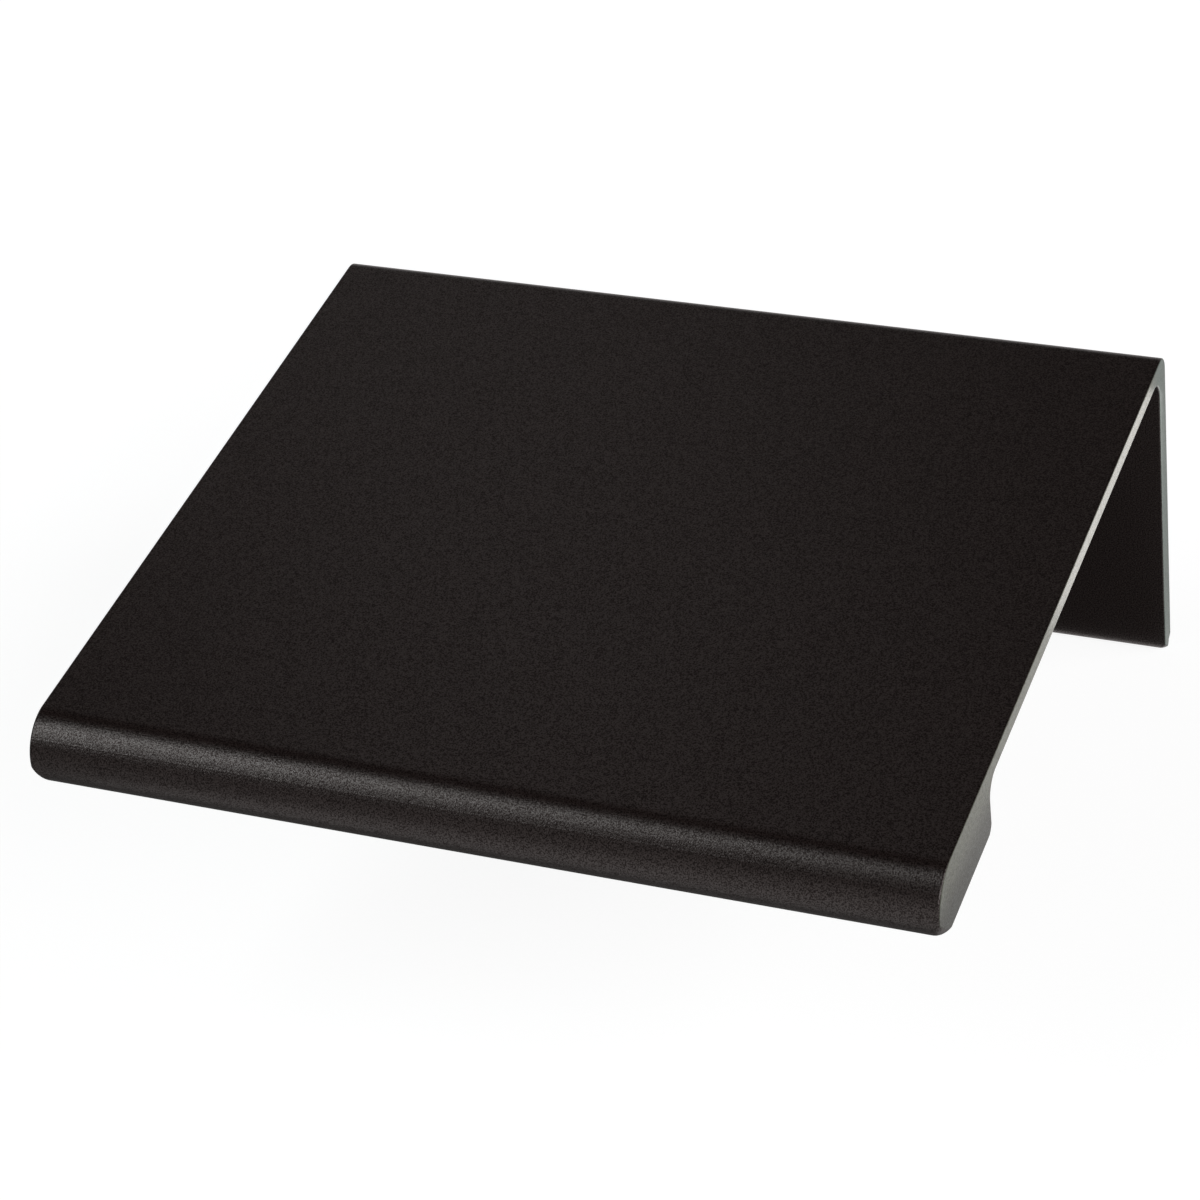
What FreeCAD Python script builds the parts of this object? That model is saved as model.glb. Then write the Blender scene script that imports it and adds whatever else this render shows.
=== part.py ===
"""Tab pull: one aluminium extrusion, cut to length, drilled and coated.

A thin horizontal plate lies on the edge of a drawer front. A short flange turns down
square behind the drawer front and is screwed to it. In front of the drawer the plate
ends in a thick grip lip with a round nose.

Frame, in millimetres: +X runs along the extrusion, -Y points to the lip and +Z is up.
The origin lies midway between the two screw holes, on the flange face that meets the
drawer front.
"""

import FreeCAD, Part
import os
import Sketcher

# Driving dimensions in millimetres, and what each one measures
DIMENSIONS = {
    "pull_width": (44.5, "length of the cut extrusion, side to side"),
    "pull_depth": (40.0, "tip of the nose to the outer face of the flange"),
    "plate_thickness": (0.9, "wall of the plate"),
    "flange_thickness": (1.15, "wall of the flange"),
    "flange_height": (18.9, "top of the plate to the foot of the flange"),
    "lip_depth": (8.0, "tip of the nose to the back of the lip"),
    "lip_height": (3.7, "top of the plate to the underside of the lip"),
    "nose_upper_radius": (2.1, "round from the plate's top into the tip of the nose"),
    "heel_radius": (0.5, "lower back edge of the lip, under the fingertips"),
    "root_radius": (1.0, "hollow where the back of the lip meets the plate"),
    "bend_outer_radius": (1.0, "outside of the corner between plate and flange"),
    "bend_inner_radius": (1.1, "inside of the corner between plate and flange"),
    "foot_radius": (0.3, "both long edges of the flange's foot"),
    "end_break": (0.12, "edge break around both sawn ends"),
    "screw_spacing": (32.0, "centre to centre of the two screw holes"),
    "screw_drop": (9.0, "underside of the plate down to the line of the screws"),
    "screw_hole_diameter": (3.8, "clearance hole in the flange"),
    "screw_land": (0.35, "straight wall left in the hole below the countersink"),
    "countersink_angle": (90.0, "full angle of the countersink, in degrees"),
}

# Which end of a sketch curve a constraint takes
START, END, CENTRE = 1, 2, 3

# The sketch's own vertical axis and origin, as constraints name them
VERTICAL_AXIS = -2
ORIGIN = (-1, START)

# How nearly parallel to +X or -X a sawn end's normal has to be
END_FACE_TOLERANCE = 1e-6


def value(name):
    """Return a driving dimension as a plain number."""
    return DIMENSIONS[name][0]


def cell(name):
    """Return the expression that reads a driving dimension from the sheet."""
    return "Dimensions." + name


def make_sheet(doc):
    """Write the driving dimensions into a sheet, each with its alias and its meaning."""
    sheet = doc.addObject("Spreadsheet::Sheet", "Dimensions")
    for row, (name, (number, meaning)) in enumerate(DIMENSIONS.items(), start=1):
        sheet.set(f"A{row}", name)
        sheet.set(f"B{row}", str(number))
        sheet.set(f"C{row}", meaning)
        sheet.setAlias(f"B{row}", name)
    doc.recompute()
    return sheet


def origin_plane(body, role):
    """Return one of a body's own origin planes, such as YZ_Plane."""
    return next(plane for plane in body.Origin.OriginFeatures if plane.Role == role)


def attach_to_plane(sketch, body, role):
    """Lay a sketch on one of its body's origin planes."""
    sketch.AttachmentSupport = [(origin_plane(body, role), "")]
    sketch.MapMode = "FlatFace"


def drive(sketch, name, expression, *constraint):
    """Add a named dimension to a sketch and bind it to an expression of the sheet."""
    sketch.addConstraint(Sketcher.Constraint(*constraint))
    sketch.renameConstraint(sketch.ConstraintCount - 1, name)
    sketch.setExpression("Constraints." + name, expression)


def corner_arc(y, z, radius, start_degrees):
    """Return a quarter round about (y, z) that starts at an angle from the sketch's +X."""
    circle = Part.Circle(FreeCAD.Vector(y, z, 0), FreeCAD.Vector(0, 0, 1), radius)
    start = FreeCAD.Units.Quantity(f"{start_degrees} deg").getValueAs("rad").Value
    quarter = FreeCAD.Units.Quantity("90 deg").getValueAs("rad").Value
    return Part.ArcOfCircle(circle, start, start + quarter)


def draw_line(sketch, start, end):
    """Add a line between two (y, z) points and return its index."""
    segment = Part.LineSegment(FreeCAD.Vector(*start, 0), FreeCAD.Vector(*end, 0))
    return sketch.addGeometry(segment, False)


def draw_section(sketch):
    """Draw the extrusion's closed section, fully constrained by the sheet.

    The sketch lies on the YZ plane, so its horizontal is Y and its vertical is Z.
    """
    underside = value("screw_drop")
    top = underside + value("plate_thickness")
    back = value("flange_thickness")
    tip = back - value("pull_depth")
    lip_back = tip + value("lip_depth")
    lip_under = top - value("lip_height")
    foot = top - value("flange_height")
    upper = value("nose_upper_radius")
    lower = value("lip_height") - upper
    heel = value("heel_radius")
    root = value("root_radius")
    outer = value("bend_outer_radius")
    inner = value("bend_inner_radius")
    edge = value("foot_radius")

    # Straight runs of the section
    plate_top = draw_line(sketch, (back - outer, top), (tip + upper, top))
    lip_floor = draw_line(sketch, (tip + lower, lip_under), (lip_back - heel, lip_under))
    lip_rear = draw_line(sketch, (lip_back, lip_under + heel), (lip_back, underside - root))
    plate_under = draw_line(sketch, (lip_back + root, underside), (-inner, underside))
    flange_front = draw_line(sketch, (0, underside - inner), (0, foot + edge))
    flange_foot = draw_line(sketch, (edge, foot), (back - edge, foot))
    flange_rear = draw_line(sketch, (back, foot + edge), (back, top - outer))

    # Rounds between them
    nose_upper = sketch.addGeometry(corner_arc(tip + upper, top - upper, upper, 90), False)
    nose_lower = sketch.addGeometry(corner_arc(tip + lower, lip_under + lower, lower, 180), False)
    heel_arc = sketch.addGeometry(corner_arc(lip_back - heel, lip_under + heel, heel, 270), False)
    root_arc = sketch.addGeometry(corner_arc(lip_back + root, underside - root, root, 90), False)
    inner_arc = sketch.addGeometry(corner_arc(-inner, underside - inner, inner, 0), False)
    foot_front = sketch.addGeometry(corner_arc(edge, foot + edge, edge, 180), False)
    foot_rear = sketch.addGeometry(corner_arc(back - edge, foot + edge, edge, 270), False)
    outer_arc = sketch.addGeometry(corner_arc(back - outer, top - outer, outer, 0), False)

    # Each run flows into the next one without a corner
    joints = [
        (plate_top, END, nose_upper, START),
        (nose_upper, END, nose_lower, START),
        (nose_lower, END, lip_floor, START),
        (lip_floor, END, heel_arc, START),
        (heel_arc, END, lip_rear, START),
        (lip_rear, END, root_arc, END),
        (root_arc, START, plate_under, START),
        (plate_under, END, inner_arc, END),
        (inner_arc, START, flange_front, START),
        (flange_front, END, foot_front, START),
        (foot_front, END, flange_foot, START),
        (flange_foot, END, foot_rear, START),
        (foot_rear, END, flange_rear, START),
        (flange_rear, END, outer_arc, START),
        (outer_arc, END, plate_top, START),
    ]
    for first, first_end, second, second_end in joints:
        sketch.addConstraint(Sketcher.Constraint("Tangent", first, first_end, second, second_end))

    # Level and plumb runs, and a nose that is plumb at its tip
    for line in (plate_top, lip_floor, plate_under, flange_foot):
        sketch.addConstraint(Sketcher.Constraint("Horizontal", line))
    for line in (lip_rear, flange_front, flange_rear):
        sketch.addConstraint(Sketcher.Constraint("Vertical", line))
    sketch.addConstraint(Sketcher.Constraint("Horizontal", nose_upper, CENTRE, nose_upper, END))

    # The seating face of the flange holds the section on the sketch's vertical axis
    sketch.addConstraint(Sketcher.Constraint("PointOnObject", flange_front, START, VERTICAL_AXIS))

    # Sizes of the section
    drive(sketch, "screw_drop", cell("screw_drop"),
          "DistanceY", *ORIGIN, plate_under, END, underside)
    drive(sketch, "plate_thickness", cell("plate_thickness"),
          "DistanceY", plate_under, END, plate_top, START, value("plate_thickness"))
    drive(sketch, "flange_thickness", cell("flange_thickness"),
          "DistanceX", flange_front, START, flange_rear, END, back)
    drive(sketch, "flange_height", cell("flange_height"),
          "DistanceY", flange_foot, END, plate_top, START, value("flange_height"))
    drive(sketch, "pull_depth", cell("pull_depth"),
          "DistanceX", nose_upper, END, flange_rear, END, value("pull_depth"))
    drive(sketch, "lip_depth", cell("lip_depth"),
          "DistanceX", nose_upper, END, lip_rear, START, value("lip_depth"))
    drive(sketch, "lip_height", cell("lip_height"),
          "DistanceY", lip_floor, END, plate_top, END, value("lip_height"))

    # Rounds: the lower half of the nose takes what the upper half leaves of the lip's height
    rounds = {
        "nose_upper_radius": nose_upper,
        "heel_radius": heel_arc,
        "root_radius": root_arc,
        "bend_outer_radius": outer_arc,
        "bend_inner_radius": inner_arc,
        "foot_radius": foot_front,
    }
    for name, arc in rounds.items():
        drive(sketch, name, cell(name), "Radius", arc, value(name))
    sketch.addConstraint(Sketcher.Constraint("Equal", foot_front, foot_rear))


def sawn_ends(feature):
    """Return the names of the two flat faces that the saw leaves, square to X."""
    names = []
    for number, face in enumerate(feature.Shape.Faces, start=1):
        if not isinstance(face.Surface, Part.Plane):
            continue
        if abs(abs(face.normalAt(0, 0).x) - 1) < END_FACE_TOLERANCE:
            names.append(f"Face{number}")
    if len(names) != 2:
        raise RuntimeError(f"expected two sawn ends, found {len(names)}")
    return names


def extrude_section(doc, body):
    """Push the section out equally to both sides and break the edges of the sawn ends."""
    section = body.newObject("Sketcher::SketchObject", "Section")
    attach_to_plane(section, body, "YZ_Plane")
    draw_section(section)
    doc.recompute()

    extrusion = body.newObject("PartDesign::Pad", "Extrusion")
    extrusion.Profile = section
    extrusion.SideType = "Symmetric"
    extrusion.setExpression("Length", cell("pull_width"))
    doc.recompute()

    edge_break = body.newObject("PartDesign::Chamfer", "EndBreak")
    edge_break.Base = (extrusion, sawn_ends(extrusion))
    edge_break.setExpression("Size", cell("end_break"))
    doc.recompute()
    if not edge_break.Shape.Volume < extrusion.Shape.Volume:
        raise RuntimeError("the edge break removed nothing")
    return edge_break


def drill_screw_holes(doc, body, blank):
    """Drill the two screw holes through the flange and countersink them from behind."""
    layout = body.newObject("Sketcher::SketchObject", "ScrewLayout")
    attach_to_plane(layout, body, "XZ_Plane")
    # The XZ plane faces -Y, so the outer face of the flange lies behind it
    layout.setExpression("AttachmentOffset.Base.z", "-" + cell("flange_thickness"))

    half_spacing = value("screw_spacing") / 2
    radius = value("screw_hole_diameter") / 2
    circles = []
    for side in (-1, 1):
        centre = FreeCAD.Vector(side * half_spacing, 0, 0)
        circle = Part.Circle(centre, FreeCAD.Vector(0, 0, 1), radius)
        circles.append(layout.addGeometry(circle, False))
    left, right = circles
    layout.addConstraint(Sketcher.Constraint("Symmetric", left, CENTRE, right, CENTRE, *ORIGIN))
    layout.addConstraint(Sketcher.Constraint("Horizontal", left, CENTRE, right, CENTRE))
    layout.addConstraint(Sketcher.Constraint("Equal", left, right))
    drive(layout, "screw_spacing", cell("screw_spacing"),
          "DistanceX", left, CENTRE, right, CENTRE, value("screw_spacing"))
    drive(layout, "screw_hole_diameter", cell("screw_hole_diameter"),
          "Diameter", left, value("screw_hole_diameter"))
    doc.recompute()

    holes = body.newObject("PartDesign::Hole", "ScrewHoles")
    holes.Profile = layout
    holes.Reversed = True
    holes.ThreadType = "None"
    holes.setExpression("Diameter", cell("screw_hole_diameter"))
    holes.DepthType = "Dimension"
    holes.DrillPoint = "Flat"
    # Twice the wall, so that the drill comes out clear of the seating face
    holes.setExpression("Depth", "2 * " + cell("flange_thickness"))
    holes.HoleCutType = "Countersink"
    holes.HoleCutCustomValues = True
    holes.setExpression("HoleCutCountersinkAngle", cell("countersink_angle") + " * 1 deg")
    cone_depth = f"({cell('flange_thickness')} - {cell('screw_land')})"
    half_angle = f"({cell('countersink_angle')} / 2 * 1 deg)"
    holes.setExpression(
        "HoleCutDiameter",
        f"{cell('screw_hole_diameter')} + 2 * {cone_depth} * tan{half_angle}",
    )
    doc.recompute()
    if not holes.Shape.Volume < blank.Shape.Volume:
        raise RuntimeError("the screw holes removed nothing")
    return holes


def make_tab_pull(doc):
    """Build the pull as one body: extrude, break the ends, drill."""
    body = doc.addObject("PartDesign::Body", "TabPull")
    body.Label = "tab_pull"
    body.Placement = FreeCAD.Placement()
    blank = extrude_section(doc, body)
    body.Tip = drill_screw_holes(doc, body, blank)
    return body


def check_document(doc):
    """Raise an error if any object of the document failed to compute."""
    for item in doc.Objects:
        if "Invalid" in item.State or "Error" in item.State:
            raise RuntimeError(f"{item.Name} failed: {item.State}")


def write_step(body):
    """Write a finished sub-part to parts/, named by its label."""
    shape = body.Shape
    if shape.isNull() or not shape.isValid() or len(shape.Solids) != 1:
        raise RuntimeError(f"{body.Label} isn't one valid solid")
    shape.exportStep(f"parts/{body.Label}.step")
    box = shape.BoundBox
    print(f"{body.Label}: {shape.Volume:.1f} mm3, {box.XLength:.2f} x {box.YLength:.2f} x {box.ZLength:.2f} mm")


def main():
    """Build the document and write its one sub-part."""
    os.makedirs("parts", exist_ok=True)
    doc = FreeCAD.newDocument("TabPull")
    make_sheet(doc)
    pull = make_tab_pull(doc)
    doc.recompute()
    check_document(doc)
    write_step(pull)


main()
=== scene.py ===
"""The black tab pull as it lies in a small photo studio.

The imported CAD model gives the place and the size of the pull. The skin made here follows the
same section, with rounded rims at its sawn ends and a satin black coat of fine texture.
Lengths are in metres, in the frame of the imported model: X along the extrusion, -Y towards the
grip lip and +Z up out of the plate.
"""

from __future__ import annotations

import logging
import math
from dataclasses import dataclass, field
from enum import Enum

import bmesh
import bpy
from mathutils import Matrix, Quaternion, Vector


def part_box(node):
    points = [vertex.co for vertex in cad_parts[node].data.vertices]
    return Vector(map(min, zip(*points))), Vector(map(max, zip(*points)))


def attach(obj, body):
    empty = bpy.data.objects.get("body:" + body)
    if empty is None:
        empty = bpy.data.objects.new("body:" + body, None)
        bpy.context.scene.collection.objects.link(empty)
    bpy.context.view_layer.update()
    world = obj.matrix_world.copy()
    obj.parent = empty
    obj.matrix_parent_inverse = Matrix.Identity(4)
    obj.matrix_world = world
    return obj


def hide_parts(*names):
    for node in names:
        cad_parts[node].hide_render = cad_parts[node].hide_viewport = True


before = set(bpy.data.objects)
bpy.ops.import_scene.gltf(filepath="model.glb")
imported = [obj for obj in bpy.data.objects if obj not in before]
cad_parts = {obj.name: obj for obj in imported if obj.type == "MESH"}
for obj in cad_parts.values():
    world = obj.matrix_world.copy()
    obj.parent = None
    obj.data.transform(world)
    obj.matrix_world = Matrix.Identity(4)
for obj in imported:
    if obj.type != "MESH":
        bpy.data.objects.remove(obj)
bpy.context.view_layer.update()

LOG = logging.getLogger("tab_pull")
MM = 0.001
SAME_PLACE = 1e-7
QUAD_CORNERS = 4
PULL_NODE = "tab_pull"

Colour = tuple[float, float, float, float]


class SeenBy(Enum):
    """The kinds of ray that meet a white background, as Light Path names them."""

    CAMERA = "Is Camera Ray"
    GLOSSY = "Is Glossy Ray"
    TRANSMISSION = "Is Transmission Ray"


class Skin(Enum):
    """What a face of the pull belongs to, for its shading normals."""

    OUTSIDE = 0
    HOLE = 1


@dataclass(frozen=True)
class Fade:
    """The two values between which something changes smoothly."""

    start: float
    end: float

    def shifted(self, distance: float) -> Fade:
        """Returns the fade moved up by distance."""
        return Fade(self.start + distance, self.end + distance)


@dataclass(frozen=True)
class Corner:
    """A corner of the section before it is rounded.

    depth is its Y, height its Z, radius its rounding, steps the facets of that rounding, and rim
    the radius of the sawn rim in the middle of that rounding.
    """

    depth: float
    height: float
    radius: float
    steps: int
    rim: float


@dataclass(frozen=True)
class SkinPoint:
    """A point of the outline, with the way out of the metal and the sawn rim's radius there."""

    place: Vector
    outward: Vector
    rim: float

    def inset(self, distance: float) -> Vector:
        """Returns the point moved into the metal by distance."""
        return self.place - self.outward * distance


@dataclass(frozen=True)
class PullSection:
    """The section of the extrusion: flange, plate and round-nosed lip.

    The overall sizes come from the CAD box and the others are the section's own. A rim is the
    radius that a sawn end has along its edge, and nose_line_drop is how far below the plate's top
    the die has left its line on the nose.
    """

    rear: float
    top: float
    foot: float
    nose: float
    plate_thickness: float = 0.9 * MM
    flange_thickness: float = 1.15 * MM
    lip_depth: float = 8.0 * MM
    lip_height: float = 3.7 * MM
    nose_upper_radius: float = 2.1 * MM
    heel_radius: float = 0.5 * MM
    root_radius: float = 1.0 * MM
    bend_outer_radius: float = 1.0 * MM
    bend_inner_radius: float = 1.1 * MM
    foot_radius: float = 0.55 * MM
    edge_rim: float = 0.09 * MM
    grip_rim: float = 0.50 * MM
    lip_rim: float = 0.13 * MM
    foot_rim: float = 0.35 * MM
    nose_line_drop: float = 0.72 * MM

    @property
    def seat(self) -> float:
        """Returns the Y of the flange's front face."""
        return self.rear - self.flange_thickness

    @property
    def underside(self) -> float:
        """Returns the Z of the plate's underside."""
        return self.top - self.plate_thickness

    @property
    def lip_bottom(self) -> float:
        """Returns the Z of the lip's underside."""
        return self.top - self.lip_height

    def corners(self) -> list[Corner]:
        """Lists the corners, anticlockwise with Y to the right and Z up.

        Returns:
            The corners from the flange's rear foot, over the plate and back under the lip.
        """
        lip_rear = self.nose + self.lip_depth
        nose_lower_radius = self.lip_height - self.nose_upper_radius
        return [
            Corner(self.rear, self.foot, self.foot_radius, steps=12, rim=self.foot_rim),
            Corner(self.rear, self.top, self.bend_outer_radius, steps=16, rim=self.edge_rim),
            Corner(self.nose, self.top, self.nose_upper_radius, steps=28, rim=self.lip_rim),
            Corner(self.nose, self.lip_bottom, nose_lower_radius, steps=24, rim=self.grip_rim),
            Corner(lip_rear, self.lip_bottom, self.heel_radius, steps=12, rim=self.lip_rim),
            Corner(lip_rear, self.underside, self.root_radius, steps=16, rim=self.edge_rim),
            Corner(self.seat, self.underside, self.bend_inner_radius, steps=14, rim=self.edge_rim),
            Corner(self.seat, self.foot, self.foot_radius, steps=12, rim=self.foot_rim),
        ]

    def outline(self) -> list[SkinPoint]:
        """Rounds the corners and lists the points of the whole outline.

        Returns:
            The points in order, each with its outward direction in the YZ plane.
        """
        corners = self.corners()
        points: list[SkinPoint] = []
        for number, corner in enumerate(corners):
            before = corners[number - 1]
            after = corners[(number + 1) % len(corners)]
            points.extend(self.rounding(before, corner, after))
        return points

    def rounding(self, before: Corner, corner: Corner, after: Corner) -> list[SkinPoint]:
        """Makes the arc that rounds one corner.

        Args:
            before: The corner that the outline comes from.
            corner: The corner to round.
            after: The corner that the outline goes to.

        Returns:
            The points of the arc, both ends included.
        """
        here = Vector((0.0, corner.depth, corner.height))
        arriving = (here - Vector((0.0, before.depth, before.height))).normalized()
        leaving = (Vector((0.0, after.depth, after.height)) - here).normalized()
        turn = math.atan2(arriving.cross(leaving).x, arriving.dot(leaving))
        outward = Vector((0.0, arriving.z, -arriving.y))
        start = here - arriving * corner.radius * math.tan(abs(turn) / 2)
        centre = start - outward * math.copysign(corner.radius, turn)
        arc = []
        for step in range(corner.steps + 1):
            share = step / corner.steps
            part_turn = Matrix.Rotation(turn * share, 3, "X")
            rim = self.edge_rim + (corner.rim - self.edge_rim) * math.sin(math.pi * share)
            arc.append(SkinPoint(centre + part_turn @ (start - centre), part_turn @ outward, rim))
        return arc


@dataclass(frozen=True)
class ScrewHoles:
    """The two countersunk screw holes through the flange."""

    spacing: float = 32.0 * MM
    height: float = 0.0
    radius: float = 1.9 * MM
    land: float = 0.35 * MM
    sides: int = 48

    def centres(self) -> list[float]:
        """Returns the X of each hole."""
        return [-self.spacing / 2, self.spacing / 2]

    def stations(self, seat: float, rear: float) -> list[tuple[float, float]]:
        """Lists the rings of a hole, from the seating face to the rear.

        Args:
            seat: The Y of the flange's front face.
            rear: The Y of its rear face.

        Returns:
            The Y and the radius of each ring. The countersink opens by 90 degrees in all.
        """
        sink = rear - seat - self.land
        return [(seat, self.radius), (seat + self.land, self.radius), (rear, self.radius + sink)]


@dataclass(frozen=True)
class NodeSheet:
    """A sheet of shader nodes, with short ways to add and join them."""

    tree: bpy.types.NodeTree

    def add(self, kind: str, **settings: object) -> bpy.types.Node:
        """Adds a node.

        Args:
            kind: The node's type.
            settings: Its properties by name.

        Returns:
            The node.
        """
        node = self.tree.nodes.new(kind)
        for name, setting in settings.items():
            setattr(node, name, setting)
        return node

    def feed(self, socket: bpy.types.NodeSocket, source: object) -> None:
        """Joins a source to a socket, or sets the socket where the source is a plain value.

        Args:
            socket: The input to feed.
            source: An output of another node, or a value.
        """
        if isinstance(source, bpy.types.NodeSocket):
            self.tree.links.new(source, socket)
        else:
            socket.default_value = source

    def maths(self, operation: str, *sources: object, clamp: bool = False) -> bpy.types.NodeSocket:
        """Adds a Math node.

        Args:
            operation: What it works out.
            sources: Its inputs in order, sockets or numbers.
            clamp: True keeps the result between 0 and 1.

        Returns:
            The result.
        """
        node = self.add("ShaderNodeMath", operation=operation, use_clamp=clamp)
        for socket, source in zip(node.inputs, sources):
            self.feed(socket, source)
        return node.outputs[0]

    def ramp(self, source: object, low: float, high: float, start: object = 0.0,
             end: object = 1.0) -> bpy.types.NodeSocket:
        """Adds a smooth step.

        Args:
            source: What is measured.
            low: The value at which the result leaves start.
            high: The value at which it reaches end.
            start: The result below low.
            end: The result above high.

        Returns:
            The result.
        """
        node = self.add("ShaderNodeMapRange", interpolation_type="SMOOTHSTEP")
        for name, part in zip(("Value", "From Min", "From Max", "To Min", "To Max"),
                              (source, low, high, start, end)):
            self.feed(node.inputs[name], part)
        return node.outputs["Result"]

    def fade(self, source: object, over: Fade, first: object = 0.0,
             last: object = 1.0) -> bpy.types.NodeSocket:
        """Adds a smooth step over a named stretch.

        Args:
            source: What is measured.
            over: Where the result leaves first and where it reaches last.
            first: The result before the stretch.
            last: The result after it.

        Returns:
            The result.
        """
        return self.ramp(source, over.start, over.end, first, last)

    def blend(self, share: object, first: object, second: object) -> bpy.types.NodeSocket:
        """Mixes two colours.

        Args:
            share: How much of the second there is, from 0 to 1.
            first: The colour where share is 0.
            second: The colour where share is 1.

        Returns:
            The mixed colour.
        """
        node = self.add("ShaderNodeMix", data_type="RGBA")
        colours = [socket for socket in node.inputs if socket.type == "RGBA"]
        self.feed(node.inputs[0], share)
        self.feed(colours[0], first)
        self.feed(colours[1], second)
        return next(socket for socket in node.outputs if socket.type == "RGBA")

    def place(self, *scale: float) -> bpy.types.NodeSocket:
        """Gives the point on the piece, stretched where a scale is given.

        Args:
            scale: How much X, Y and Z are stretched.

        Returns:
            The point.
        """
        place = self.add("ShaderNodeTexCoord").outputs["Object"]
        if not scale:
            return place
        node = self.add("ShaderNodeVectorMath", operation="MULTIPLY")
        self.feed(node.inputs[0], place)
        node.inputs[1].default_value = scale
        return node.outputs["Vector"]

    def axes(self, source: object = None) -> bpy.types.NodeOutputs:
        """Takes a vector apart.

        Args:
            source: The vector. Where none is given it is the point on the piece.

        Returns:
            Its X, Y and Z by name.
        """
        split = self.add("ShaderNodeSeparateXYZ")
        self.feed(split.inputs["Vector"], self.place() if source is None else source)
        return split.outputs

    def noise(self, place: object, scale: object, detail: float = 2.0,
              roughness: float = 0.5) -> bpy.types.NodeSocket:
        """Adds a noise.

        Args:
            place: Where it is read.
            scale: How many of its bumps there are in a metre of place.
            detail: How many finer layers it has.
            roughness: How strong those layers are.

        Returns:
            Its value.
        """
        node = self.add("ShaderNodeTexNoise")
        self.feed(node.inputs["Vector"], place)
        self.feed(node.inputs["Scale"], scale)
        node.inputs["Detail"].default_value = detail
        node.inputs["Roughness"].default_value = roughness
        return node.outputs["Fac"]

    def group(self, tree: bpy.types.NodeTree, **sources: object) -> bpy.types.Node:
        """Places a node group.

        Args:
            tree: The group.
            sources: Its inputs by name, with _ for each space.

        Returns:
            The group's node.
        """
        node = self.add("ShaderNodeGroup")
        node.node_tree = tree
        for name, source in sources.items():
            self.feed(node.inputs[name.replace("_", " ").title()], source)
        return node

    def seen_by(self, *kinds: SeenBy) -> bpy.types.NodeSocket:
        """Tells what kind of ray meets the surface.

        Args:
            kinds: The kinds that count.

        Returns:
            1 for a ray of one of these kinds, and 0 for any other.
        """
        path = self.add("ShaderNodeLightPath")
        total: object = path.outputs[kinds[0].value]
        for kind in kinds[1:]:
            total = self.maths("MAXIMUM", total, path.outputs[kind.value])
        return total


class EffectGroup:
    """A shader effect that several materials share, kept as a node group."""

    name = "effect"
    inputs: tuple[str, ...] = ()
    outputs: tuple[str, ...] = ()

    def __init__(self) -> None:
        """Builds the group once."""
        self.tree = bpy.data.node_groups.new(self.name, "ShaderNodeTree")
        for label in self.inputs:
            self.tree.interface.new_socket(label, in_out="INPUT", socket_type="NodeSocketFloat")
        for label in self.outputs:
            self.tree.interface.new_socket(label, in_out="OUTPUT", socket_type="NodeSocketFloat")
        self.build(NodeSheet(self.tree))

    def build(self, sheet: NodeSheet) -> None:
        """Adds the group's own nodes to its sheet."""
        raise NotImplementedError


class FineGrain(EffectGroup):
    """The small bumps of a textured coat or of paper."""

    name = "fine_grain"
    inputs = ("Grain Per Metre", "Coarse Share")
    outputs = ("Height", "Speckle")
    fine_detail = 3.0
    fine_roughness = 0.6
    coarse_detail = 2.0
    coarse_scale = 0.31
    speckle = Fade(0.38, 0.60)

    def build(self, sheet: NodeSheet) -> None:
        """Adds a fine and a coarser noise, and the speckle that the fine one makes.

        Args:
            sheet: The group's nodes.
        """
        given = sheet.add("NodeGroupInput")
        result = sheet.add("NodeGroupOutput")
        place = sheet.place()
        per_metre = given.outputs["Grain Per Metre"]
        fine = sheet.noise(place, per_metre, self.fine_detail, self.fine_roughness)
        coarse_per_metre = sheet.maths("MULTIPLY", per_metre, self.coarse_scale)
        coarse = sheet.noise(place, coarse_per_metre, self.coarse_detail)
        lifted = sheet.maths("MULTIPLY", coarse, given.outputs["Coarse Share"])
        sheet.feed(result.inputs["Height"], sheet.maths("ADD", fine, lifted))
        sheet.feed(result.inputs["Speckle"], sheet.fade(fine, self.speckle))


class SoftMottle(EffectGroup):
    """Slow, faint changes over a surface, such as a coat that is a little thicker here and there."""

    name = "soft_mottle"
    inputs = ("Patches Per Metre",)
    outputs = ("Patch",)
    detail = 3.0
    patch = Fade(0.32, 0.68)

    def build(self, sheet: NodeSheet) -> None:
        """Adds one slow noise.

        Args:
            sheet: The group's nodes.
        """
        given = sheet.add("NodeGroupInput")
        result = sheet.add("NodeGroupOutput")
        slow = sheet.noise(sheet.place(), given.outputs["Patches Per Metre"], self.detail)
        sheet.feed(result.inputs["Patch"], sheet.fade(slow, self.patch))


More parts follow.
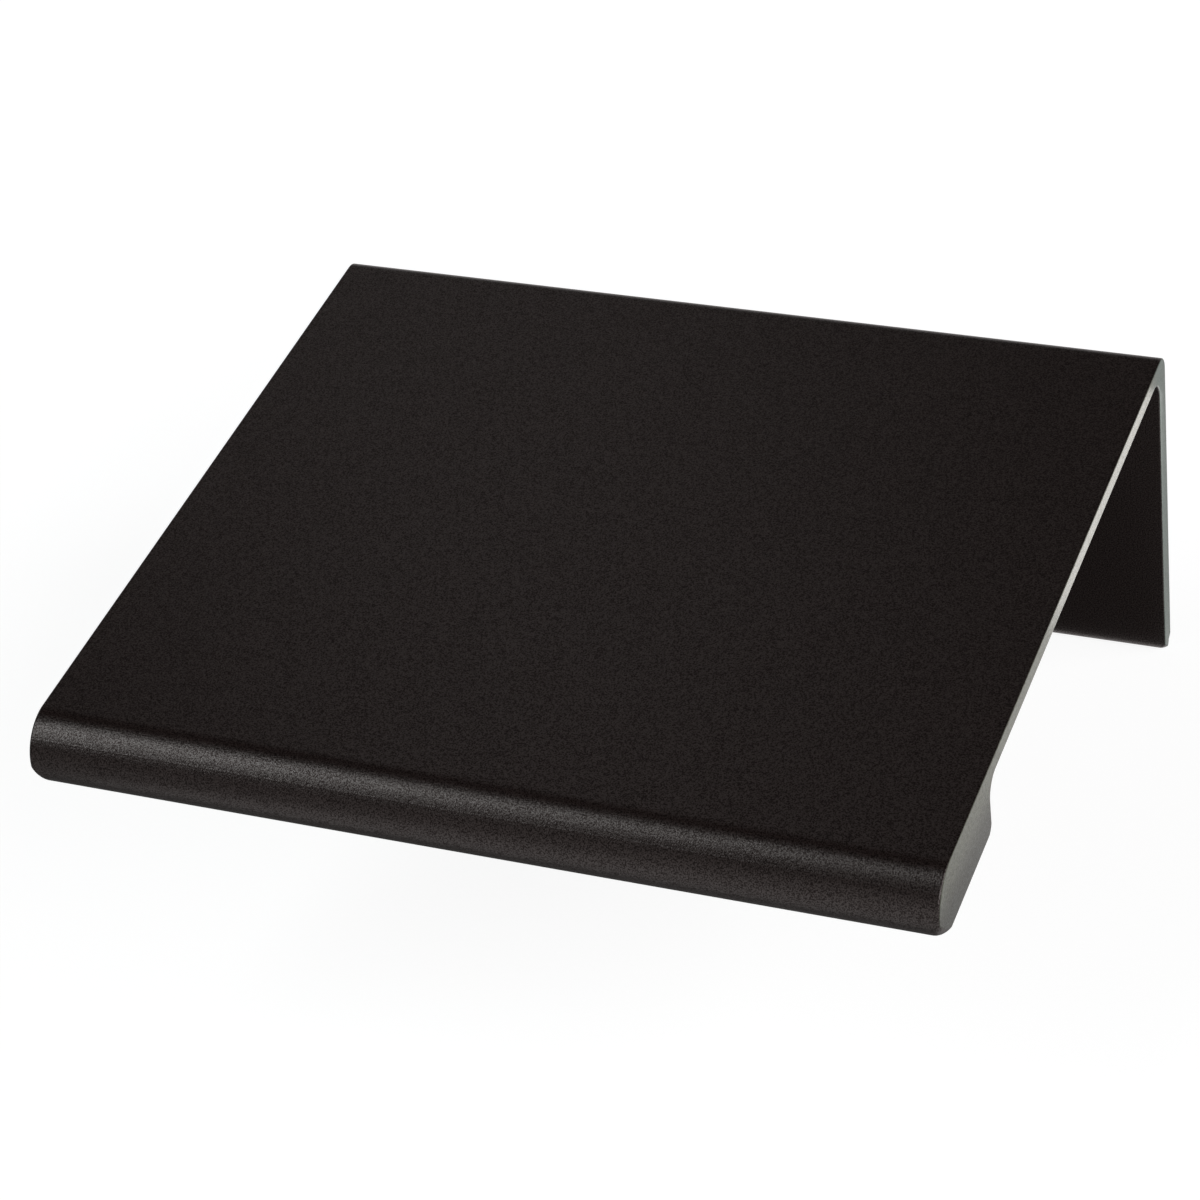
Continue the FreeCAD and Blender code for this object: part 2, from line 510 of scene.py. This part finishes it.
@dataclass(frozen=True)
class SatinBlackCoat:
    """The satin black coat: finely textured, with faint lines along the extrusion and thin rims.

    On the sawn ends the colour is lighter than the black coat, as painted light and reflection, and darker
    low down on the lip, as painted shade. end_face is measured from the end, and the painted shade on the lip
    from the line on the nose. thin_fleck is how strong the flecks are where the coat is thinnest.
    """

    half_width: float
    nose_line_height: float
    nose_line_depth: float
    deep_colour: Colour = (0.0076, 0.0038, 0.0032, 1.0)
    speck_colour: Colour = (0.0132, 0.0070, 0.0060, 1.0)
    # Painted light and reflection on the sawn ends: the lit colour high on the lip's end, the painted shade
    # low on it, and the lit colour of the flange's end.
    end_painted_light_colour: Colour = (0.120, 0.132, 0.096, 1.0)
    end_painted_shade_colour: Colour = (0.004, 0.010, 0.002, 1.0)
    flange_end_painted_light_colour: Colour = (0.084, 0.126, 0.106, 1.0)
    mirror_tint: Colour = (1.0, 0.92, 0.90, 1.0)
    index: float = 1.70
    flake_share: float = 0.76
    thin_fleck: float = 0.8
    roughness: float = 0.285
    speck_roughness: Fade = Fade(0.02, -0.01)
    patch_roughness: Fade = Fade(0.0, 0.012)
    grain_per_metre: float = 14000.0
    coarse_share: float = 0.5
    grain_depth: float = 0.010 * MM
    patches_per_metre: float = 160.0
    end_face: Fade = Fade(-0.04 * MM, -0.005 * MM)
    # Where the painted shade low on the lip's sawn end fades into its painted light, measured from the line
    # on the nose.
    lip_painted_shade: Fade = Fade(-2.2 * MM, 0.6 * MM)
    flange_end: Fade = Fade(-2.0 * MM, 0.0)
    saw_marks: float = 0.5
    marks_per_metre: tuple[float, float, float] = (9000.0, 4500.0, 9000.0)
    marks_detail: float = 3.0
    mark_range: Fade = Fade(0.34, 0.66)
    die_lines_per_metre: tuple[float, float, float] = (60.0, 7000.0, 7000.0)
    die_line_share: float = 0.25
    nose_line_share: float = 0.35
    nose_line_width: float = 0.06 * MM
    nose_line_fade: float = 0.4 * MM

    def make(self, grain: FineGrain, mottle: SoftMottle) -> bpy.types.Material:
        """Builds the coat.

        Args:
            grain: The shared group of fine bumps.
            mottle: The shared group of slow changes.

        Returns:
            The material.
        """
        material = bpy.data.materials.new("satin_black_coat")
        material.use_nodes = True
        material.node_tree.nodes.clear()
        sheet = NodeSheet(material.node_tree)
        bumps = sheet.group(grain.tree, grain_per_metre=self.grain_per_metre, coarse_share=self.coarse_share)
        patch = sheet.group(mottle.tree, patches_per_metre=self.patches_per_metre).outputs["Patch"]
        speckle = bumps.outputs["Speckle"]

        fleck = sheet.maths("MULTIPLY", speckle, sheet.ramp(patch, 0.0, 1.0, self.thin_fleck, 1.0))
        black = sheet.blend(fleck, self.deep_colour, self.speck_colour)
        # The sawn ends take painted light, reflection and shade in place of the black coat's colour.
        colour = sheet.blend(self.sawn_end(sheet), black, self.painted_end_light(sheet))
        flakes = sheet.maths("MULTIPLY", sheet.maths("SUBTRACT", 1.0, speckle), self.flake_share)

        bump = sheet.add("ShaderNodeBump")
        bump.inputs["Strength"].default_value = 1.0
        bump.inputs["Distance"].default_value = self.grain_depth
        sheet.feed(bump.inputs["Height"], sheet.maths("ADD", bumps.outputs["Height"], self.draw_lines(sheet)))

        coat = sheet.add("ShaderNodeBsdfPrincipled")
        coat.inputs["IOR"].default_value = self.index
        coat.inputs["Specular Tint"].default_value = self.mirror_tint
        sheet.feed(coat.inputs["Base Color"], colour)
        sheet.feed(coat.inputs["Roughness"], self.dullness(sheet, speckle, patch))
        sheet.feed(coat.inputs["Metallic"], flakes)
        sheet.feed(coat.inputs["Normal"], bump.outputs["Normal"])
        result = sheet.add("ShaderNodeOutputMaterial")
        sheet.feed(result.inputs["Surface"], coat.outputs["BSDF"])
        return material

    def dullness(self, sheet: NodeSheet, speckle: bpy.types.NodeSocket,
                 patch: bpy.types.NodeSocket) -> bpy.types.NodeSocket:
        """Makes the coat's roughness, which changes a little from speck to speck and patch to patch.

        Args:
            sheet: The material's nodes.
            speckle: The mask of the specks.
            patch: The mask of the patches.

        Returns:
            The roughness.
        """
        specks = self.speck_roughness.shifted(self.roughness)
        fine = sheet.ramp(speckle, 0.0, 1.0, specks.start, specks.end)
        slow = sheet.ramp(patch, 0.0, 1.0, self.patch_roughness.start, self.patch_roughness.end)
        return sheet.maths("ADD", fine, slow)

    def sawn_end(self, sheet: NodeSheet) -> bpy.types.NodeSocket:
        """Returns 1 on the two sawn ends and 0 on the rest."""
        out = sheet.maths("ABSOLUTE", sheet.axes()["X"])
        return sheet.fade(out, self.end_face.shifted(self.half_width))

    def painted_end_light(self, sheet: NodeSheet) -> bpy.types.NodeSocket:
        """Makes the colour of the sawn ends: painted light and reflection that make them lighter than the
        black coat, marked by the saw, with painted shade that darkens them low down on the lip.

        Args:
            sheet: The material's nodes.

        Returns:
            The colour.
        """
        axes = sheet.axes()
        # Painted shade: the lip's sawn end darkens towards its underside.
        painted_shade_rise = sheet.fade(axes["Z"], self.lip_painted_shade.shifted(self.nose_line_height))
        scores = sheet.noise(sheet.place(*self.marks_per_metre), 1.0, self.marks_detail)
        marks = sheet.fade(scores, self.mark_range, 1.0 - self.saw_marks, 1.0 + self.saw_marks)
        marked = sheet.maths("MULTIPLY", painted_shade_rise, marks, clamp=True)
        painted_lip_end_colour = sheet.blend(marked, self.end_painted_shade_colour, self.end_painted_light_colour)
        # The flange's sawn end takes its own painted light and reflection colour.
        return sheet.blend(sheet.fade(axes["Y"], self.flange_end), painted_lip_end_colour, self.flange_end_painted_light_colour)

    def draw_lines(self, sheet: NodeSheet) -> bpy.types.NodeSocket:
        """Makes the faint lines that the die leaves along the extrusion.

        Args:
            sheet: The material's nodes.

        Returns:
            Their height, for the bumps.
        """
        streaks = sheet.noise(sheet.place(*self.die_lines_per_metre), 1.0, 2.0)
        axes = sheet.axes()
        nose = Fade(0.0, self.nose_line_fade).shifted(self.nose_line_depth)
        in_front = sheet.fade(axes["Y"], nose, 1.0, 0.0)
        off_line = sheet.maths("ABSOLUTE", sheet.maths("SUBTRACT", axes["Z"], self.nose_line_height))
        cut = sheet.ramp(off_line, 0.0, self.nose_line_width, self.nose_line_share, 0.0)
        line = sheet.maths("MULTIPLY", cut, in_front)
        faint = sheet.maths("MULTIPLY", streaks, self.die_line_share)
        return sheet.maths("ADD", faint, line)


@dataclass
class TabPull:
    """The pull: one piece of extrusion, sawn square and drilled.

    bends_of_flange is more than the flange's faces lose in height to its bend and its rounded foot.
    sunk_lean is how far a hole's wall faces the rear where it is countersunk, at least.
    """

    low: Vector
    high: Vector
    rim_steps: int = 6
    plain_end: float = 1.0 * MM
    lengths: int = 12
    bends_of_flange: float = 3.0 * MM
    sunk_lean: float = 0.3
    holes: ScrewHoles = field(default_factory=ScrewHoles)

    def __post_init__(self) -> None:
        """Takes the section's place from the CAD box."""
        self.section = PullSection(rear=self.high.y, top=self.high.z, foot=self.low.z, nose=self.low.y)
        self.half_width = self.high.x

    def rings(self) -> list[tuple[float, float]]:
        """Lists where the outline is repeated along the pull.

        Returns:
            For each ring its X as a share of the plain length, and how much its normals turn
            towards the nearer end, in radians. A ring of a rim has a share of -1 or 1.
        """
        turns = [math.pi / 2 * step / self.rim_steps for step in range(self.rim_steps + 1)]
        plain = [(2 * number / self.lengths - 1, 0.0) for number in range(1, self.lengths)]
        return [(-1, -turn) for turn in reversed(turns)] + plain + [(1, turn) for turn in turns]

    def spot(self, point: SkinPoint, share: float, turn: float) -> Vector:
        """Places one point of a ring.

        Args:
            point: The point of the outline.
            share: The ring's place along the plain length, from -1 to 1.
            turn: How much its normal turns towards the nearer end.

        Returns:
            Its place on the skin.
        """
        inner = point.inset(point.rim * (1 - math.cos(turn)))
        if abs(share) < 1:
            return Vector((share * (self.half_width - self.plain_end), inner.y, inner.z))
        out = self.half_width - point.rim * (1 - math.sin(abs(turn)))
        return Vector((math.copysign(out, share), inner.y, inner.z))

    def facing(self, point: SkinPoint, turn: float) -> Vector:
        """Returns the way out of the skin at a point of a ring whose normals turn towards an end."""
        return point.outward * math.cos(turn) + Vector((math.sin(turn), 0.0, 0.0))

    def in_flange_face(self, first: SkinPoint, second: SkinPoint) -> bool:
        """Tells whether a stretch of the outline is a flange face with holes.

        Args:
            first: The point at its start.
            second: The point at its end.

        Returns:
            True for a flange face.
        """
        upright = abs(first.place.y - second.place.y) < SAME_PLACE
        least_height = self.section.top - self.section.foot - self.bends_of_flange
        return upright and abs(first.place.z - second.place.z) > least_height

    def build(self) -> bpy.types.Object:
        """Builds the pull's skin.

        Returns:
            The object, with its normals set.
        """
        outline = self.section.outline()
        mesh = bmesh.new()
        normals: dict[bmesh.types.BMVert, Vector] = {}
        rings = []
        for share, turn in self.rings():
            ring = []
            for point in outline:
                vertex = mesh.verts.new(self.spot(point, share, turn))
                normals[vertex] = self.facing(point, turn)
                ring.append(vertex)
            rings.append(ring)
        skin = mesh.faces.layers.int.new("skin")
        self.add_sides(mesh, rings, outline)
        mesh.faces.new(rings[-1])
        mesh.faces.new(list(reversed(rings[0])))
        self.add_holes(mesh, skin, normals)
        self.fill_flange(mesh)
        bmesh.ops.triangulate(mesh, faces=[face for face in mesh.faces if len(face.verts) > QUAD_CORNERS])
        return self.finish_mesh(mesh, skin, normals)

    def add_sides(self, mesh: bmesh.types.BMesh, rings: list[list[bmesh.types.BMVert]],
                  outline: list[SkinPoint]) -> None:
        """Adds the faces between neighbouring rings, all but the two flange faces that have holes.

        Args:
            mesh: The mesh being built.
            rings: The rings of vertices along X.
            outline: The outline that every ring repeats.
        """
        count = len(outline)
        for number in range(len(rings) - 1):
            rounded = number < self.rim_steps or number >= len(rings) - 1 - self.rim_steps
            here, there = rings[number], rings[number + 1]
            for index in range(count):
                following = (index + 1) % count
                if not rounded and self.in_flange_face(outline[index], outline[following]):
                    continue
                mesh.faces.new((here[index], here[following], there[following], there[index]))

    def add_holes(self, mesh: bmesh.types.BMesh, skin: bmesh.types.BMLayerItem,
                  normals: dict[bmesh.types.BMVert, Vector]) -> None:
        """Adds the walls of the screw holes.

        Args:
            mesh: The mesh being built.
            skin: The layer that says what a face belongs to.
            normals: The outward direction at each vertex of the outside.
        """
        for centre in self.holes.centres():
            rings = []
            for y, radius in self.holes.stations(self.section.seat, self.section.rear):
                ring = []
                for side in range(self.holes.sides):
                    angle = 2 * math.pi * side / self.holes.sides
                    across = radius * math.cos(angle)
                    up = radius * math.sin(angle)
                    ring.append(mesh.verts.new((centre + across, y, self.holes.height + up)))
                rings.append(ring)
            for vertex in rings[0]:
                normals[vertex] = Vector((0.0, -1.0, 0.0))
            for vertex in rings[-1]:
                normals[vertex] = Vector((0.0, 1.0, 0.0))
            for near, far in zip(rings, rings[1:]):
                for side in range(self.holes.sides):
                    following = (side + 1) % self.holes.sides
                    wall = mesh.faces.new((near[side], near[following], far[following], far[side]))
                    wall[skin] = Skin.HOLE.value

    def fill_flange(self, mesh: bmesh.types.BMesh) -> None:
        """Fills the flange's two faces round the holes.

        Args:
            mesh: The mesh being built.
        """
        open_edges = [edge for edge in mesh.edges if edge.is_boundary]
        for y, way in ((self.section.seat, -1.0), (self.section.rear, 1.0)):
            border = [edge for edge in open_edges if self.lies_at(edge, y)]
            filled = bmesh.ops.triangle_fill(mesh, use_beauty=True, edges=border)
            for face in filled["geom"]:
                if isinstance(face, bmesh.types.BMFace):
                    face.normal_update()
                    if face.normal.y * way < 0:
                        face.normal_flip()

    def lies_at(self, edge: bmesh.types.BMEdge, y: float) -> bool:
        """Returns True where both ends of an edge have this Y."""
        return all(abs(vertex.co.y - y) < SAME_PLACE for vertex in edge.verts)

    def finish_mesh(self, mesh: bmesh.types.BMesh, skin: bmesh.types.BMLayerItem,
                    normals: dict[bmesh.types.BMVert, Vector]) -> bpy.types.Object:
        """Turns the mesh into an object with the section's own normals.

        Args:
            mesh: The finished bmesh.
            skin: The layer that says what a face belongs to.
            normals: The outward direction at each vertex of the outside.

        Returns:
            The object.
        """
        mesh.normal_update()
        loop_normals = []
        for face in mesh.faces:
            face.smooth = True
            in_hole = face[skin] == Skin.HOLE.value
            for loop in face.loops:
                loop_normals.append(self.hole_normal(face, loop) if in_hole else normals[loop.vert])
        data = bpy.data.meshes.new("pull_skin")
        mesh.to_mesh(data)
        mesh.free()
        data.normals_split_custom_set([tuple(normal.normalized()) for normal in loop_normals])
        piece = bpy.data.objects.new("pull_skin", data)
        bpy.context.scene.collection.objects.link(piece)
        return piece

    def hole_normal(self, face: bmesh.types.BMFace, loop: bmesh.types.BMLoop) -> Vector:
        """Finds the normal of a hole's wall, which leans back where it is countersunk.

        Args:
            face: A face of the wall.
            loop: One of its corners.

        Returns:
            The normal at that corner, of any length.
        """
        centre = math.copysign(self.holes.spacing / 2, loop.vert.co.x)
        inward = Vector((centre - loop.vert.co.x, 0.0, self.holes.height - loop.vert.co.z)).normalized()
        lean = 1.0 if face.normal.y > self.sunk_lean else 0.0
        return inward + Vector((0.0, lean, 0.0))

    def dress(self, piece: bpy.types.Object, coat: bpy.types.Material) -> None:
        """Gives the skin its coat and puts it in place of the CAD node.

        Args:
            piece: The skin.
            coat: The coat's material.
        """
        piece.data.materials.append(coat)
        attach(piece, "root")
        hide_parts(PULL_NODE)


@dataclass(frozen=True)
class PaperSweep:
    """The pale paper that the pull stands on.

    The camera sees it white. Mirrors see it white beside the pull's right end, behind the pull and
    before its nose, each with its own share, and in shade under the plate.
    """

    height: float
    half_size: float = 3.0
    parts: int = 8
    paper_colour: Colour = (0.26, 0.26, 0.26, 1.0)
    darkest_share: float = 0.985
    roughness: float = 0.95
    fibres_per_metre: float = 2500.0
    coarse_share: float = 0.4
    patches_per_metre: float = 25.0
    fibre_strength: float = 0.3
    fibre_depth: float = 0.02 * MM
    glow: float = 0.87
    far_off: Fade = Fade(90.0 * MM, 300.0 * MM)
    beside: Fade = Fade(21.0 * MM, 26.0 * MM)
    beside_rise: Fade = Fade(-26.0 * MM, -4.0 * MM)
    beside_share: float = 0.51
    behind: Fade = Fade(-0.8 * MM, -0.3 * MM)
    rear_fall: Fade = Fade(-4.0 * MM, 6.0 * MM)
    rear_share: float = 0.56
    before: Fade = Fade(-52.0 * MM, -41.0 * MM)
    front_share: float = 0.62
    front_left: Fade = Fade(-34.0 * MM, -24.0 * MM)
    front_left_share: float = 0.3
    front_right_share: float = 0.95

    def build(self) -> bpy.types.Object:
        """Builds the sheet.

        Returns:
            The object.
        """
        mesh = bmesh.new()
        bmesh.ops.create_grid(mesh, x_segments=self.parts, y_segments=self.parts, size=self.half_size)
        bmesh.ops.translate(mesh, verts=mesh.verts, vec=(0.0, 0.0, self.height))
        data = bpy.data.meshes.new("paper_sweep")
        mesh.to_mesh(data)
        mesh.free()
        sweep = bpy.data.objects.new("paper_sweep", data)
        bpy.context.scene.collection.objects.link(sweep)
        return sweep

    def dress(self, sweep: bpy.types.Object, grain: FineGrain, mottle: SoftMottle) -> None:
        """Gives the paper its material.

        Args:
            sweep: The sheet.
            grain: The shared group of fine bumps.
            mottle: The shared group of slow changes.
        """
        material = bpy.data.materials.new("pale_paper")
        material.use_nodes = True
        material.node_tree.nodes.clear()
        sheet = NodeSheet(material.node_tree)
        fibres = sheet.group(grain.tree, grain_per_metre=self.fibres_per_metre,
                             coarse_share=self.coarse_share)
        patch = sheet.group(mottle.tree, patches_per_metre=self.patches_per_metre).outputs["Patch"]
        darker = tuple(self.darkest_share * part for part in self.paper_colour[:3]) + (1.0,)
        bump = sheet.add("ShaderNodeBump")
        bump.inputs["Strength"].default_value = self.fibre_strength
        bump.inputs["Distance"].default_value = self.fibre_depth
        sheet.feed(bump.inputs["Height"], fibres.outputs["Height"])
        paper = sheet.add("ShaderNodeBsdfPrincipled")
        paper.inputs["Roughness"].default_value = self.roughness
        paper.inputs["Specular IOR Level"].default_value = 0.0
        sheet.feed(paper.inputs["Base Color"], sheet.blend(patch, self.paper_colour, darker))
        sheet.feed(paper.inputs["Normal"], bump.outputs["Normal"])

        lit = sheet.add("ShaderNodeEmission")
        sheet.feed(lit.inputs["Strength"], self.background(sheet))
        both = sheet.add("ShaderNodeAddShader")
        sheet.feed(both.inputs[0], paper.outputs["BSDF"])
        sheet.feed(both.inputs[1], lit.outputs["Emission"])
        hidden = sheet.add("ShaderNodeBsdfTransparent")
        facing = sheet.add("ShaderNodeMixShader")
        sheet.feed(facing.inputs["Fac"], sheet.add("ShaderNodeNewGeometry").outputs["Backfacing"])
        sheet.feed(facing.inputs[1], both.outputs["Shader"])
        sheet.feed(facing.inputs[2], hidden.outputs["BSDF"])
        result = sheet.add("ShaderNodeOutputMaterial")
        sheet.feed(result.inputs["Surface"], facing.outputs["Shader"])
        sweep.data.materials.append(material)

    def background(self, sheet: NodeSheet) -> bpy.types.NodeSocket:
        """Makes the glow that turns the paper white for the camera and in reflections.

        Args:
            sheet: The material's nodes.

        Returns:
            The glow's strength.
        """
        axes = sheet.axes()
        away = sheet.add("ShaderNodeVectorMath", operation="LENGTH")
        sheet.feed(away.inputs[0], sheet.place())
        strength = sheet.fade(away.outputs["Value"], self.far_off, self.glow, 1.0)
        right = sheet.maths("MULTIPLY", sheet.fade(axes["X"], self.beside),
                            sheet.fade(axes["Y"], self.beside_rise, self.beside_share, 1.0))
        behind = sheet.fade(axes["Y"], self.behind)
        beside = sheet.maths("MULTIPLY", sheet.maths("MAXIMUM", right, behind),
                             sheet.fade(axes["Y"], self.rear_fall, 1.0, self.rear_share))
        left_to_right = sheet.fade(axes["X"], self.front_left, self.front_left_share, self.front_right_share)
        before = sheet.maths("MULTIPLY", sheet.fade(axes["Y"], self.before, self.front_share, 0.0),
                             left_to_right)
        clear = sheet.maths("MAXIMUM", beside, before)
        mirrored = sheet.maths("MULTIPLY", sheet.seen_by(SeenBy.GLOSSY, SeenBy.TRANSMISSION), clear)
        seen = sheet.maths("MAXIMUM", sheet.seen_by(SeenBy.CAMERA), mirrored)
        return sheet.maths("MULTIPLY", seen, strength)


@dataclass(frozen=True)
class Lamp:
    """A soft lamp that looks at the pull."""

    name: str
    towards: tuple[float, float, float]
    distance: float
    width: float
    height: float
    radiance: float
    spin_degrees: float = 0.0
    rounded: bool = False
    gloss_only: bool = False
    colour: tuple[float, float, float] = (1.0, 1.0, 1.0)

    def build(self, aim: Vector) -> bpy.types.Object:
        """Hangs the lamp.

        Args:
            aim: The point that it looks at.

        Returns:
            The lamp.
        """
        data = bpy.data.lights.new(self.name, "AREA")
        data.shape = "ELLIPSE" if self.rounded else "RECTANGLE"
        data.size = self.width
        data.size_y = self.height
        area = self.width * self.height * (math.pi / 4 if self.rounded else 1.0)
        data.energy = self.radiance * math.pi * area
        data.color = self.colour
        lamp = bpy.data.objects.new(self.name, data)
        way = Vector(self.towards).normalized()
        lamp.location = aim + way * self.distance
        spin = Quaternion((0.0, 0.0, 1.0), math.radians(self.spin_degrees))
        lamp.rotation_euler = (way.to_track_quat("Z", "Y") @ spin).to_euler()
        lamp.visible_camera = False
        lamp.visible_diffuse = not self.gloss_only
        bpy.context.scene.collection.objects.link(lamp)
        return lamp


@dataclass(frozen=True)
class StudioLamps:
    """The soft lamps round the table, and a small card that the flange's right end mirrors.

    The card stands to the right of the flange's rear edge by card_out, behind it by card_behind,
    and at card_height.
    """

    lamps: tuple[Lamp, ...] = (
        Lamp(name="overhead_softbox", towards=(-0.557, -0.417, 0.725), distance=2.4, width=0.665, height=2.57,
             radiance=4.74, spin_degrees=17.4, rounded=True, colour=(0.93, 1.0, 1.0)),
        Lamp(name="front_softbox", towards=(0.62, -0.62, 0.48), distance=2.6, width=1.8, height=1.8,
             radiance=2.8),
        Lamp(name="side_softbox", towards=(0.86, 0.05, 0.50), distance=2.6, width=1.9, height=1.9,
             radiance=2.6),
    )
    card: Lamp = Lamp(name="edge_card", towards=(0.0, 1.0, 0.0), distance=0.0, width=12.0 * MM,
                      height=17.0 * MM, radiance=1.7, spin_degrees=-5.0, gloss_only=True)
    card_out: float = 7.3 * MM
    card_behind: float = 0.3 * MM
    card_height: float = -0.9 * MM

    def build(self, low: Vector, high: Vector) -> None:
        """Hangs the lamps and stands the card.

        Args:
            low: The lowest corner of the pull's box.
            high: Its highest corner.
        """
        aim = Vector((0.0, (low.y + high.y) / 2, high.z))
        for lamp in self.lamps:
            LOG.info("%s hangs at %s", lamp.name, lamp.build(aim).location)
        beside_flange = Vector((high.x + self.card_out, high.y + self.card_behind, self.card_height))
        LOG.info("%s stands at %s", self.card.name, self.card.build(beside_flange).location)


@dataclass(frozen=True)
class PalePatch:
    """A round pale patch of the room behind the table, which fades out towards its rim.

    towards is the way to its middle, reach its radius as a share of its distance.
    """

    towards: tuple[float, float, float]
    reach: float
    strength: float


@dataclass(frozen=True)
class StudioRoom:
    """The room round the table: darker above and behind, with a white backdrop at the horizon.

    Each fade is over X, Y or Z of the way that is looked along.
    """

    ceiling: float = 0.03
    front_high: float = 0.01
    front_low: float = 0.66
    front_left_share: float = 0.05
    backdrop: float = 0.5
    front_left: Fade = Fade(-0.48, -0.33)
    front_rise: Fade = Fade(0.28, 0.50)
    front_end: Fade = Fade(-0.45, -0.05)
    backdrop_rise: Fade = Fade(0.12, 0.42)
    backdrop_side: Fade = Fade(-0.3, 0.3)
    patches: tuple[PalePatch, ...] = (
        PalePatch((-0.37, 0.730, 0.575), 0.10, 1.25),
        PalePatch((-0.37, 0.665, 0.650), 0.10, 1.00),
        PalePatch((-0.29, 0.625, 0.725), 0.10, 1.55),
    )

    def build(self) -> None:
        """Builds the world."""
        world = bpy.data.worlds.new("studio_room")
        world.use_nodes = True
        world.node_tree.nodes.clear()
        bpy.context.scene.world = world
        sheet = NodeSheet(world.node_tree)
        way = sheet.add("ShaderNodeTexCoord").outputs["Generated"]
        axes = sheet.axes(way)
        left_low = self.front_left_share * self.front_low
        low_front = sheet.fade(axes["X"], self.front_left, left_low, self.front_low)
        front = sheet.fade(axes["Z"], self.front_rise, low_front, self.front_high)
        room = sheet.maths("ADD", self.patch_light(sheet, way),
                           sheet.fade(axes["Y"], self.front_end, front, self.ceiling))
        low = sheet.fade(axes["Z"], self.backdrop_rise, 1.0, 0.0)
        behind = sheet.fade(axes["Y"], self.backdrop_side)
        backdrop = sheet.maths("MULTIPLY", low, behind)
        mirrored = sheet.maths("MULTIPLY", backdrop, sheet.seen_by(SeenBy.GLOSSY, SeenBy.TRANSMISSION))
        white = sheet.maths("MAXIMUM", sheet.seen_by(SeenBy.CAMERA), mirrored)
        shown = sheet.add("ShaderNodeMix", data_type="FLOAT")
        sheet.feed(shown.inputs[0], white)
        sheet.feed(shown.inputs[2], room)
        sheet.feed(shown.inputs[3], sheet.ramp(sheet.seen_by(SeenBy.CAMERA), 0.0, 1.0, self.backdrop, 1.0))
        light = sheet.add("ShaderNodeBackground")
        sheet.feed(light.inputs["Strength"], shown.outputs[0])
        result = sheet.add("ShaderNodeOutputWorld")
        sheet.feed(result.inputs["Surface"], light.outputs["Background"])

    def patch_light(self, sheet: NodeSheet, way: bpy.types.NodeSocket) -> bpy.types.NodeSocket:
        """Makes the pale patches behind the table that the plate mirrors.

        Args:
            sheet: The world's nodes.
            way: The direction that is looked along.

        Returns:
            The patches' strength.
        """
        total: object = 0.0
        for patch in self.patches:
            apart = sheet.add("ShaderNodeVectorMath", operation="DISTANCE")
            sheet.feed(apart.inputs[0], way)
            apart.inputs[1].default_value = Vector(patch.towards).normalized()
            pale = sheet.ramp(apart.outputs["Value"], 0.0, patch.reach, patch.strength, 0.0)
            total = sheet.maths("ADD", total, pale)
        return total


@dataclass(frozen=True)
class PhotoCamera:
    """The camera where the photograph was taken."""

    place: tuple[float, float, float] = (61.015 * MM, -148.257 * MM, 121.252 * MM)
    forward: tuple[float, float, float] = (-0.34982, 0.68646, -0.63749)
    rightward: tuple[float, float, float] = (0.92577, 0.35752, -0.12302)
    focal_pixels: float = 3744.5
    picture_pixels: float = 1200.0
    sensor: float = 36.0
    shift: float = 0.05
    nearest: float = 0.01
    farthest: float = 10.0

    def build(self) -> bpy.types.Object:
        """Builds the camera and makes it the scene's.

        Returns:
            The camera.
        """
        data = bpy.data.cameras.new("photo_camera")
        data.sensor_width = self.sensor
        data.lens = self.focal_pixels / self.picture_pixels * self.sensor
        data.shift_x = self.shift
        data.shift_y = self.shift
        data.clip_start = self.nearest
        data.clip_end = self.farthest
        camera = bpy.data.objects.new("photo_camera", data)
        back = -Vector(self.forward).normalized()
        right = Vector(self.rightward).normalized()
        up = back.cross(right)
        turned = Matrix((right, up, back)).transposed().to_4x4()
        camera.matrix_world = Matrix.Translation(Vector(self.place)) @ turned
        bpy.context.scene.collection.objects.link(camera)
        bpy.context.scene.camera = camera
        return camera


def main() -> None:
    """Builds the pull, its coat and the studio, in order."""
    logging.basicConfig(level=logging.INFO, format="%(name)s: %(message)s")
    bpy.context.scene.view_settings.view_transform = "Standard"
    low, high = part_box(PULL_NODE)
    grain = FineGrain()
    mottle = SoftMottle()

    pull = TabPull(low, high)
    section = pull.section
    coat = SatinBlackCoat(
        half_width=pull.half_width,
        nose_line_height=section.top - section.nose_line_drop,
        nose_line_depth=section.nose + section.nose_upper_radius,
    )
    skin = pull.build()
    pull.dress(skin, coat.make(grain, mottle))
    LOG.info("%s has %d faces", skin.name, len(skin.data.polygons))

    sweep = PaperSweep(height=low.z)
    sheet = sweep.build()
    sweep.dress(sheet, grain, mottle)
    LOG.info("%s lies at %.1f mm", sheet.name, low.z / MM)

    StudioLamps().build(low, high)
    StudioRoom().build()
    PhotoCamera().build()


if __name__ == "__main__":
    main()
